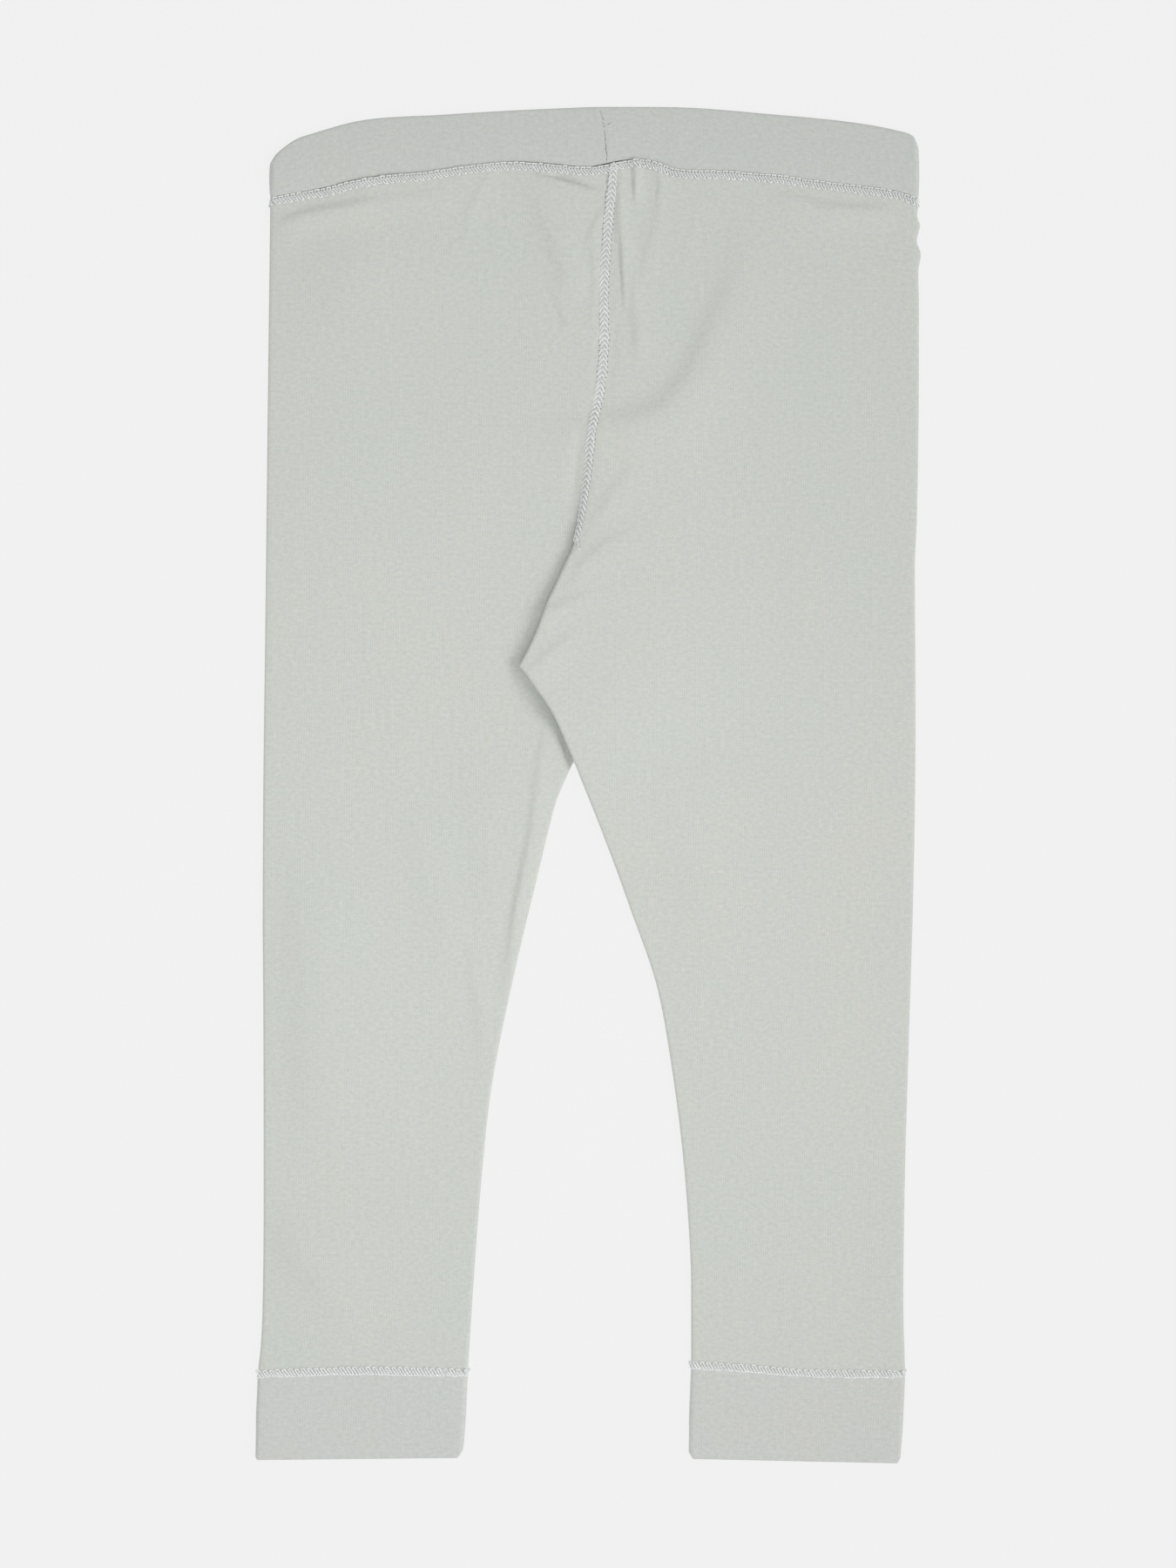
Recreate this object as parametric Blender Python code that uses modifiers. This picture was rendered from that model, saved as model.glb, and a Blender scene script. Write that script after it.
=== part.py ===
"""Small child's pull-on jersey trousers, cut as leggings and laid flat with the back up.

Each leg is one panel of jersey wrapped round from the inseam, joined to the other leg by the
centre back and centre front seams. A folded waistband and two folded cuffs are sewn on.
The crotch of the right leg is turned over the left leg, as the garment was laid down.

The garment lies on its front on the plane z = 0. X runs across it, with the right leg at +X,
and Y runs along it, with the waist at +Y. "Down" is a distance below the top of the waistband.
"""

import math

import bmesh
import bpy
import numpy as np

MM = 0.001

# Driving dimensions, in millimetres
LENGTH = 436.0
CLOTH = 1.0
SEAM_GAP = 0.3
WAISTBAND_WALL = 2.0
WAISTBAND_HEIGHT = 4.4
CUFF_WALL = 1.5
CUFF_HEIGHT = 3.4
CUFF_CORNER = 2.2
PUFF = 0.4
SIDE_REACH = 12.0
EDGE_REACH = 24.0
INSEAM_TURN = 2.0

# Rows of the leg panels, as distances down from the waistband's top
WAIST_ROW = 24.0
CUFF_ROW = 407.0
HEM_ROW = 434.6
WAIST_FADE = 46.0
CUFF_FADE = 30.0
LEG_ROWS = (
    24, 29, 35, 42, 50, 58, 67, 77, 88, 99, 110, 121, 131, 139, 141.5, 144, 145.5, 147, 148.5,
    150, 153, 156, 159, 162, 165, 170, 175, 179.8, 182.1, 187, 193, 200, 206, 211, 216, 223,
    232, 244, 259, 275, 291, 310, 332, 358, 384, 400, 407,
)  # fmt: skip

# Points across a leg panel, from the centre back edge round to the centre front edge
TOP_STEPS = 13
SIDE_STEPS = 4
EDGE_STEPS = 4
FRONT_SHARES = (0, 0.22, 0.42, 0.6, 0.76, 0.9, 1)
CENTRE_CROWDING = 1.25

# Height of the flattened tube: down, height
TUBE_HEIGHT = (
    (10, 4.2), (24, 4.2), (42, 3.7), (67, 3.4), (99, 3.2), (139, 2.8), (216, 2.8),
    (332, 2.8), (384, 3.0), (407, 3.3), (436, 3.3),
)  # fmt: skip

# Outer folds of the legs: down, x
LEFT_SIDE = (
    (0, -102.2), (30, -102.3), (99, -103.2), (162, -103.7), (218, -104.6), (302, -104.9),
    (379, -104.9), (400, -105.7), (407, -106.1), (436, -107.1),
)  # fmt: skip
RIGHT_SIDE = (
    (0, 106.3), (20, 106.3), (30, 105.6), (33, 106.2), (38.8, 105.7), (44, 107.0), (64, 106.5),
    (99, 106.3), (134, 105.7), (148, 105.1), (218, 105.1), (260, 104.3), (302, 102.9),
    (344, 101.8), (386, 101.2), (407, 101.8), (425, 101.2), (436, 100.6),
)  # fmt: skip

# Centre back seam, down to where the turned crotch hides it: down, x
BACK_SEAM = (
    (0, 8.9), (22, 8.7), (31, 7.7), (41, 6.4), (55, 5.2), (80, 4.9), (89.5, 3.9), (104, 1.3),
    (119, -0.2), (134, -2.4), (139, -3.6),
)  # fmt: skip
# Centre front seam, on the underside: down, x
FRONT_SEAM = ((0, 1.5), (60, 0.8), (100, 1.2), (140, 3.0), (150, 3.9), (159, 4.3), (180, 4.6))

# Edge of the right leg's back panel below the seam: the ridge of the fold to the crotch point,
# then the inseam edge: down, x
RIGHT_RIDGE = (
    (139, -3.6), (147, -7.3), (152.5, -9.5), (159, -12.6), (166.7, -15.5), (176.3, -19.9),
    (179.8, -21.8),
)  # fmt: skip
RIGHT_INSEAM = (
    (179.8, -21.8), (182.1, -19.8), (186.6, -16.7), (193, -12.6), (200, -9.0), (211, -4.3),
    (218, -1.5), (232, 4.1), (246, 9.4), (260, 14.4), (274, 19.5), (281, 21.7), (288, 23.4),
    (302, 25.9), (330, 29.8), (358, 32.3), (379, 33.2), (407, 33.2), (436, 32.4),
)  # fmt: skip
# Edge of the left leg's back panel: hidden under the right leg, then the inseam edge: down, x
LEFT_HIDDEN = (
    (139, -3.6), (144, -2.6), (150, -1.0), (153, 1.2), (156, 2.8), (159, 3.4), (165, 4.4),
    (175, 5.4), (187, 3.8), (200, -0.5), (211, -4.8),
)  # fmt: skip
LEFT_INSEAM = (
    (211, -4.8), (218, -8.0), (223, -10.0), (232, -12.7), (246, -16.1), (274, -22.8),
    (302, -29.0), (316, -31.5), (330, -32.9), (358, -35.4), (407, -38.8), (436, -40.2),
)  # fmt: skip

# Share of a back panel's edge that has curled round the inner fold of its leg: down, share
RIGHT_CURLING = ((139, 0), (144, 0.45), (148.5, 0.85), (150, 1))
LEFT_CURLING = ((150, 0), (153, 0.2), (156, 0.4), (159, 0.72), (162, 1))

# How far the right leg is raised where it lies on the left one: down, rise
BACK_RISE = (
    (110, 0), (131, 0.4), (139, 1.3), (141.5, 1.9), (144, 2.5), (147, 3.2), (150, 3.5),
    (211, 3.6), (216, 3.2), (223, 2.2), (232, 1.1), (244, 0),
)  # fmt: skip
FRONT_RISE = (
    (159, 0), (162, 2.0), (165, 3.6), (211, 3.6), (216, 3.2), (223, 2.2), (232, 1.1), (244, 0),
)  # fmt: skip
BACK_SLOPE = 36.0
FRONT_SLOPE = 14.0
CROSSING_CLEARANCE = 0.6

# Waist seam and waistband fold, across the back and across the front: x, down
BACK_WAIST = (
    (-103, 30.4), (-92, 28.1), (-80, 26.6), (-69, 24.1), (-58, 22.7), (-43, 21.1), (-33, 19.6),
    (-24, 18.9), (-16, 19.7), (-5, 20.7), (4, 20.9), (14.7, 18.9), (21, 19.6), (29, 21.7),
    (41, 22.2), (63, 24.1), (82, 27.0), (100, 29.2), (106, 30.4),
)  # fmt: skip
FRONT_WAIST = ((-103, 30.4), (-60, 29.0), (0, 27.6), (60, 28.6), (106, 30.4))
BACK_FOLD = (
    (-103, 18.3), (-102.2, 18.0), (-99.3, 14.6), (-94, 10.6), (-88, 8.3), (-73, 4.2),
    (-46.6, 2.5), (-15, 0.4), (10.9, 0.0), (33.5, 0.3), (56, 2.2), (86, 4.9), (99.5, 7.4),
    (104, 9.4), (105.7, 11.6), (107, 14.0),
)  # fmt: skip
FRONT_FOLD = ((-103, 18.3), (-80, 13.6), (-40, 10.4), (0, 9.5), (50, 9.6), (90, 11.2), (107, 14.0))
BAND_JOIN = ((0, 3.9), (20, 6.2), (31, 6.6))
BAND_JOIN_REACH = 16.0

# Cuff seams and hems: x, down
LEFT_CUFF_SEAM = ((-107, 407.3), (-72, 406.2), (-38, 406.9))
RIGHT_CUFF_SEAM = ((33, 404.8), (52, 405.9), (70, 407.3), (102, 407.7))
LEFT_HEM = ((-108, 434.8), (-39, 434.1))
RIGHT_HEM = ((32, 434.4), (102, 436.0))

# The largest creases of the back, as straight stretches: x, down, x, down, half width, depth
CREASES = (
    (47, 38, 40, 67, 7.0, 0.55),
    (39, 68, 22, 96, 7.0, 0.75),
    (22, 96, 8, 99, 6.0, 0.6),
    (-19, 31, -6, 61, 4.5, 0.6),
    (10, 26, 11, 58, 3.5, 0.5),
    (14, 60, 16, 82, 3.5, 0.4),
    (21, 26, 15, 57, 4.5, 0.5),
    (12, 118, 2, 133, 4.5, 0.35),
    (14, 137, -6, 156, 5.0, 0.5),
    (-16, 208, -24, 256, 3.5, 0.5),
    (-24, 256, -29, 290, 3.0, 0.4),
    (-38, 276, -34, 316, 4.0, 0.4),
    (-41, 206, -33, 278, 8.0, 0.4),
    (-58, 236, -50, 284, 8.0, 0.35),
    (-95, 256, -93, 330, 9.0, 0.45),
    (-99, 362, -80, 392, 8.0, 0.4),
    (21, 216, 38, 274, 9.0, 0.35),
    (-91, 36, -86, 48, 9.0, 0.5),
)

SAGE = (0.585, 0.62, 0.565, 1.0)
SAGE_BAND = (0.555, 0.595, 0.55, 1.0)


def smooth(table, at):
    """Value of a table at one station, on a smooth curve through its rows."""
    rows = np.array(table, float)
    stations, values = rows[:, 0], rows[:, 1]
    if at <= stations[0]:
        return values[0]
    if at >= stations[-1]:
        return values[-1]
    slopes = np.diff(values) / np.diff(stations)
    ends = np.concatenate([[slopes[0]], slopes, [slopes[-1]]])
    turning = ends[:-1] * ends[1:] <= 0
    tangents = np.where(turning, 0.0, 0.5 * (ends[:-1] + ends[1:]))
    i = int(np.searchsorted(stations, at, side="right")) - 1
    step = stations[i + 1] - stations[i]
    t = (at - stations[i]) / step
    return (
        (2 * t**3 - 3 * t**2 + 1) * values[i]
        + (t**3 - 2 * t**2 + t) * step * tangents[i]
        + (3 * t**2 - 2 * t**3) * values[i + 1]
        + (t**3 - t**2) * step * tangents[i + 1]
    )


def straight(table, at):
    """Value of a table at one station, on straight lines between its rows."""
    rows = np.array(table, float)
    return float(np.interp(at, rows[:, 0], rows[:, 1]))


def ease(t):
    """Smooth step from 0 at t = 0 to 1 at t = 1."""
    t = min(1.0, max(0.0, t))
    return t * t * (3 - 2 * t)


def back_edge(sign, down):
    """X of the edge of a leg's back panel at its centre: the seam, the ridge or the inseam."""
    if down <= BACK_SEAM[-1][0]:
        return smooth(BACK_SEAM, down) + sign * SEAM_GAP / 2
    if sign > 0:
        table = RIGHT_RIDGE if down <= RIGHT_RIDGE[-1][0] else RIGHT_INSEAM
    else:
        table = LEFT_HIDDEN if down <= LEFT_HIDDEN[-1][0] else LEFT_INSEAM
    return smooth(table, down) + sign * SEAM_GAP / 2


def side_fold(sign, down):
    """X of a leg's outer fold."""
    return smooth(RIGHT_SIDE if sign > 0 else LEFT_SIDE, down)


def crossing(down):
    """X from which the right leg, lying on the left one, slopes down to the floor."""
    return max(back_edge(-1, down) + CROSSING_CLEARANCE, back_edge(1, down))


def creasing(x, down):
    """Depth of the creases of the back at a point."""
    depth = 0.0
    for x0, down0, x1, down1, half_width, deepest in CREASES:
        run = np.array([x1 - x0, down1 - down0])
        off = np.array([x - x0, down - down0])
        share = float(off @ run / (run @ run))
        beyond = max(0.0, -share, share - 1.0) * np.linalg.norm(run)
        across = abs(float(off[0] * run[1] - off[1] * run[0])) / np.linalg.norm(run)
        depth += deepest * math.exp(-((across / half_width) ** 2) - (beyond / half_width) ** 2)
    return depth


def back_height(sign, x, down, height):
    """Height of the outer face of a leg's back, which lies uppermost."""
    from_side = abs(side_fold(sign, down) - x) - height / 2
    from_edge = abs(x - back_edge(sign, down))
    at_edge = ease((down - 95) / 44)
    swell = 1 - math.exp(-max(0.0, from_side) / SIDE_REACH)
    swell *= 1 - at_edge * math.exp(-from_edge / EDGE_REACH)
    z = height + swell * (PUFF - creasing(x, down))
    if sign > 0:
        z += straight(BACK_RISE, down) * (1 - ease((x - crossing(down)) / BACK_SLOPE))
    return z


def front_height(sign, x, down):
    """Height of the outer face of a leg's front, which lies on the floor but at the crossing."""
    if sign < 0:
        return 0.0
    return straight(FRONT_RISE, down) * (1 - ease((x - crossing(down)) / FRONT_SLOPE))


def front_end(sign, down, radius):
    """X where a leg's front ends: at the centre front seam, or at the inseam below."""
    seam = smooth(FRONT_SEAM, down) + sign * SEAM_GAP / 2
    inseam = back_edge(sign, down) + sign * (radius + INSEAM_TURN + SEAM_GAP)
    if sign < 0:
        return seam + (inseam - seam) * ease((down - 150) / 6)
    beside = back_edge(-1, down) + CROSSING_CLEARANCE + CLOTH / 5
    if down <= 165:
        return seam + (max(beside, seam) - seam) * ease((down - 159) / 6)
    return beside + (inseam - beside) * min(1.0, (down - 165) / 10)


def back_lip(sign, edge, radius, share):
    """The last points of a back panel, from its edge inwards, as (x, drop, normal x, normal z).

    The share of the lip that has curled runs round the inner fold and then back below the leg.
    """
    arc = math.pi * radius
    length = arc + INSEAM_TURN
    curled = share * length
    centre = edge + sign * radius * math.sin(min(curled / radius, math.pi / 2))
    points = []
    for run in [arc * k / EDGE_STEPS for k in range(1, EDGE_STEPS + 1)] + [length]:
        past = run - (length - curled)
        turn = min(max(past, 0.0), arc) / radius
        straight_on = max(0.0, -past) + max(0.0, past - arc)
        side, up = math.sin(turn), math.cos(turn)
        x = centre + sign * (straight_on - radius * side)
        points.append((x, radius * (1 - up), -sign * side, up))
    return points[::-1], centre + sign * (length - curled)


def section(sign, down, height=None):
    """Outer points of a leg across one row, as (x, z, normal x, normal z, share of the front).

    They run from the centre back edge over the back, round the outer fold and along the front
    to the centre front edge.
    """
    height = height or smooth(TUBE_HEIGHT, down)
    radius = height / 2
    fold = side_fold(sign, down) - sign * radius
    share = straight(RIGHT_CURLING if sign > 0 else LEFT_CURLING, down)
    lip, inner = back_lip(sign, back_edge(sign, down), radius, share)
    top = back_height(sign, lip[-1][0] if share else inner, down, height)
    points = []
    for x, drop, side, up in lip:
        z = top - drop if drop else back_height(sign, x, down, height)
        points.append((x, z, side, up, 0.0))
    for k in range(TOP_STEPS + 1):
        x = inner + (fold - inner) * (k / TOP_STEPS) ** CENTRE_CROWDING
        points.append((x, back_height(sign, x, down, height), 0.0, 1.0, 0.0))
    for k in range(1, SIDE_STEPS):
        turn = math.pi * k / SIDE_STEPS
        side, up = math.sin(turn), math.cos(turn)
        place = (fold + sign * radius * side, radius + radius * up, sign * side, up)
        points.append((*place, k / SIDE_STEPS))
    end = front_end(sign, down, radius)
    level = max(crossing(down), end + 2.0)
    for share in FRONT_SHARES:
        x = fold + (end - fold) * share
        if sign > 0:
            corners = (fold, (fold + level + FRONT_SLOPE) / 2, level + FRONT_SLOPE,
                       level + FRONT_SLOPE / 2, level, (level + end) / 2, end)  # fmt: skip
            x = corners[FRONT_SHARES.index(share)]
        points.append((x, front_height(sign, x, down), 0.0, -1.0, 1.0))
    return points


def waist_line(x, front, back_table, front_table):
    """Down of a line across the waist, on the back, on the front or on the fold between."""
    return (1 - front) * smooth(back_table, x) + front * smooth(front_table, x)


def settled(sign, x, down, front):
    """Down of a leg's point, once the rows follow the waist seam and the cuff seam."""
    waist = waist_line(x, front, BACK_WAIST, FRONT_WAIST) + SEAM_GAP / 2 - WAIST_ROW
    cuff = smooth(RIGHT_CUFF_SEAM if sign > 0 else LEFT_CUFF_SEAM, x) - SEAM_GAP / 2 - CUFF_ROW
    near_waist = 1 - ease((down - WAIST_ROW) / WAIST_FADE)
    near_cuff = 1 - ease((CUFF_ROW - down) / CUFF_FADE)
    return down + waist * near_waist + cuff * near_cuff


def place(x, down, z):
    """A point in metres, with the origin under the middle of the garment."""
    middle = (side_fold(-1, HEM_ROW) + max(row[1] for row in RIGHT_SIDE)) / 2
    return ((x - middle) * MM, (LENGTH / 2 - down) * MM, z * MM)


def material(name, colour):
    """Matt jersey of one colour."""
    made = bpy.data.materials.new(name)
    made.use_nodes = True
    shader = made.node_tree.nodes["Principled BSDF"]
    shader.inputs["Base Color"].default_value = colour
    shader.inputs["Roughness"].default_value = 0.9
    shader.inputs["Metallic"].default_value = 0.0
    return made


def grid_object(name, rows, flip, colour, around=False):
    """Object from rows of points. Around joins each row's last point to its first, with caps."""
    shape = bmesh.new()
    corners = [[shape.verts.new(point) for point in row] for row in rows]
    count = len(rows[0])
    for above, below in zip(corners, corners[1:]):
        for i in range(count if around else count - 1):
            j = (i + 1) % count
            face = (above[i], above[j], below[j], below[i])
            shape.faces.new(reversed(face) if flip else face)
    if around:
        for cap in (corners[0], corners[-1]):
            shape.faces.new(cap)
        bmesh.ops.recalc_face_normals(shape, faces=shape.faces)
    mesh = bpy.data.meshes.new(name)
    shape.to_mesh(mesh)
    shape.free()
    mesh.shade_smooth()
    mesh.materials.append(material(name, colour))
    made = bpy.data.objects.new(name, mesh)
    garment.objects.link(made)
    return made


def leg(name, sign):
    """One leg panel: a wall of jersey from the waist seam to the cuff seam."""
    rows = []
    for down in LEG_ROWS:
        row = section(sign, down)
        rows.append([place(x, settled(sign, x, down, front), z) for x, z, _, _, front in row])
    panel = grid_object(name, rows, sign > 0, SAGE)
    wall = panel.modifiers.new("cloth", "SOLIDIFY")
    wall.thickness = CLOTH * MM
    wall.offset = -1
    wall.use_even_offset = True
    return panel


def folded_profile(wall, levels):
    """Profile of a folded band, as (share from seam to fold, distance short of the fold, depth).

    It runs up the outer face, over the rounded fold and back down the inner face.
    """
    half = wall / 2
    outer = [(share, 0.0, 0.0) for share in levels]
    fold = []
    for k in range(5):
        turn = math.pi * k / 4
        fold.append((1.0, half * (1 - math.sin(turn)), half * (1 - math.cos(turn))))
    inner = [(share, 0.0, wall) for share in reversed(levels)]
    return outer + fold + inner


def waistband():
    """Waistband: a strip folded over its elastic, joined end to end beside the centre back."""
    left = section(-1, WAIST_ROW, WAISTBAND_HEIGHT)
    right = section(1, WAIST_ROW, WAISTBAND_HEIGHT)
    rows = []
    for x, z, side, up, front in left + right[-2::-1]:
        z = WAISTBAND_HEIGHT if up == 1 else z
        seam = waist_line(x, front, BACK_WAIST, FRONT_WAIST) - SEAM_GAP / 2
        fold = waist_line(x, front, BACK_FOLD, FRONT_FOLD)
        near_join = (1 - ease(abs(x - back_edge(0, WAIST_ROW)) / BAND_JOIN_REACH)) * (up == 1)
        ring = []
        for share, short, depth in folded_profile(WAISTBAND_WALL, (0.0, 0.5)):
            down = seam + (fold - seam) * share + short
            shift = near_join * (smooth(BAND_JOIN, down) - back_edge(0, WAIST_ROW))
            ring.append(place(x - side * depth + shift, down, z - up * depth))
        rows.append(ring)
    return grid_object("waistband", rows, False, SAGE_BAND, around=True)


def cuff(name, sign):
    """One cuff: a strip folded at the hem and sewn round the end of the leg."""
    seam_table = RIGHT_CUFF_SEAM if sign > 0 else LEFT_CUFF_SEAM
    hem_table = RIGHT_HEM if sign > 0 else LEFT_HEM
    at_seam = section(sign, CUFF_ROW, CUFF_HEIGHT)
    at_hem = section(sign, HEM_ROW, CUFF_HEIGHT)
    rows = []
    for top, bottom in zip(at_seam, at_hem):
        edges = (side_fold(sign, HEM_ROW), back_edge(sign, HEM_ROW))
        from_edge = min(abs(bottom[0] - edge) for edge in edges)
        inside = max(0.0, CUFF_CORNER - from_edge)
        corner = CUFF_CORNER - math.sqrt(CUFF_CORNER**2 - inside**2)
        seam = smooth(seam_table, top[0]) + SEAM_GAP / 2
        hem = smooth(hem_table, bottom[0]) - corner
        ring = []
        for share, short, depth in folded_profile(CUFF_WALL, (0.0, 0.5)):
            x, z, side, up = ((1 - share) * a + share * b for a, b in zip(top[:4], bottom[:4]))
            if top[4] == 0 and up == 1:
                z = CUFF_HEIGHT
            ring.append(
                place(x - side * depth, seam + (hem - seam) * share - short, z - up * depth)
            )
        rows.append(ring)
    return grid_object(name, rows, False, SAGE_BAND, around=True)


for old in list(bpy.data.objects):
    bpy.data.objects.remove(old)
garment = bpy.data.collections.new("jersey_trousers")
bpy.context.scene.collection.children.link(garment)

leg("left_leg", -1)
leg("right_leg", 1)
waistband()
cuff("left_cuff", -1)
cuff("right_cuff", 1)
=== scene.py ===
"""Looks of a small child's jersey trousers, laid flat on a pale table with the back up."""

import math

import bmesh
import bpy
import numpy as np
from mathutils import Matrix, Vector, noise


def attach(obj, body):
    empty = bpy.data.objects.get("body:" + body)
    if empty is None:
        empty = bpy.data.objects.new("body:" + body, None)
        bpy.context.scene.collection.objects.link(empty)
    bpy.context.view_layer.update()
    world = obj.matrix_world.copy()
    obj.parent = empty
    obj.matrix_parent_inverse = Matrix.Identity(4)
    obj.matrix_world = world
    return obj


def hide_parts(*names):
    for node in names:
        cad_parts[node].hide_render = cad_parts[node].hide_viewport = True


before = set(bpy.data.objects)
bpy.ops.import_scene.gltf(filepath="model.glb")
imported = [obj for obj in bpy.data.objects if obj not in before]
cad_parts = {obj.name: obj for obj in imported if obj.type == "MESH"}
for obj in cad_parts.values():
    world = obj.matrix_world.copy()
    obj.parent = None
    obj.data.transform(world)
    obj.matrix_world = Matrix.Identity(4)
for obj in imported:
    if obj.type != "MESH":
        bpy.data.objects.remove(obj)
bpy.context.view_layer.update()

# The table and the studio.
# A white table lit from inside, as for catalogue pictures, an even sky of light, a soft lamp
# overhead that lights the lower part a little more, a weak broad light from the right that draws
# the folds, and a weaker one low on the left. The camera looks straight down with a long lens.

MM = 0.001
TABLE_COLOUR = (0.03, 0.03, 0.03, 1.0)
TABLE_GLOW = (0.834, 0.834, 0.834, 1.0)
PHOTO_HEIGHT = 1800 * 0.28 * MM
LENS = 85.0
FILM = 36.0
AIM = (0.0001, 0.0003)
CLOTH_TOP = 0.003
UNDER_STITCHES = -0.0004


def shader_material(name, colour, roughness):
    """Material with one Principled shader, and the parts of its node tree."""
    made = bpy.data.materials.new(name)
    made.use_nodes = True
    shader = made.node_tree.nodes["Principled BSDF"]
    shader.inputs["Base Color"].default_value = colour
    shader.inputs["Roughness"].default_value = roughness
    return made, made.node_tree, shader


def mesh_object(name, mesh):
    """Object for a mesh, in the scene and at the origin."""
    made = bpy.data.objects.new(name, mesh)
    bpy.context.scene.collection.objects.link(made)
    return made


table_shape = bmesh.new()
bmesh.ops.create_grid(table_shape, x_segments=1, y_segments=1, size=3.0)
table_mesh = bpy.data.meshes.new("table")
table_shape.to_mesh(table_mesh)
table_shape.free()
table_mesh.transform(Matrix.Translation((0, 0, UNDER_STITCHES)))
table = mesh_object("table", table_mesh)
table_paint, _, table_shader = shader_material("matt white table", TABLE_COLOUR, 0.9)
table_shader.inputs["Emission Color"].default_value = TABLE_GLOW
table_shader.inputs["Emission Strength"].default_value = 1.0
table_mesh.materials.append(table_paint)


def lamp(name, kind, place, power):
    """Light of one kind that shines from a place towards the middle of the table."""
    light = bpy.data.lights.new(name, kind)
    light.energy = power
    holder = bpy.data.objects.new(name, light)
    holder.location = place
    holder.rotation_euler = (-Vector(place)).to_track_quat("-Z", "Y").to_euler()
    bpy.context.scene.collection.objects.link(holder)
    return holder


key = lamp("key", "SUN", (1.44, -0.46, 1.27), 1.07)
key.data.angle = math.radians(30)
fill = lamp("fill", "SUN", (-1.5, 0.10, 0.17), 0.25)
fill.data.angle = math.radians(12)
overhead = lamp("overhead", "AREA", (-0.03, -0.06, 0.40), 0.49)
overhead.data.size = 0.35
overhead.visible_camera = False
world = bpy.data.worlds.new("studio")
world.use_nodes = True
world.node_tree.nodes["Background"].inputs["Color"].default_value = (1.0, 1.0, 1.0, 1.0)
world.node_tree.nodes["Background"].inputs["Strength"].default_value = 0.541
bpy.context.scene.world = world

lens = bpy.data.cameras.new("camera")
lens.lens = LENS
lens.sensor_width = FILM
lens.clip_start = 0.01
camera = bpy.data.objects.new("camera", lens)
camera.location = (*AIM, PHOTO_HEIGHT * LENS / FILM + CLOTH_TOP)
bpy.context.scene.collection.objects.link(camera)
bpy.context.scene.camera = camera
bpy.context.scene.view_settings.view_transform = "Standard"

# The jersey.
# One fine single jersey of cotton and elastane, pale sage green, on all pieces. The face side
# shows fine ribs of loops along each piece, with painted shade in the hollows between the ribs,
# a slight mottle of the yarn and a soft bloom.

SAGE = (0.607, 0.626, 0.589, 1.0)
SAGE_BAND = (0.583, 0.603, 0.579, 1.0)
SAGE_CUFF = (0.598, 0.614, 0.592, 1.0)
RIB_PITCH = 0.60 * MM
LOOP_PITCH = 0.50 * MM


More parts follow.
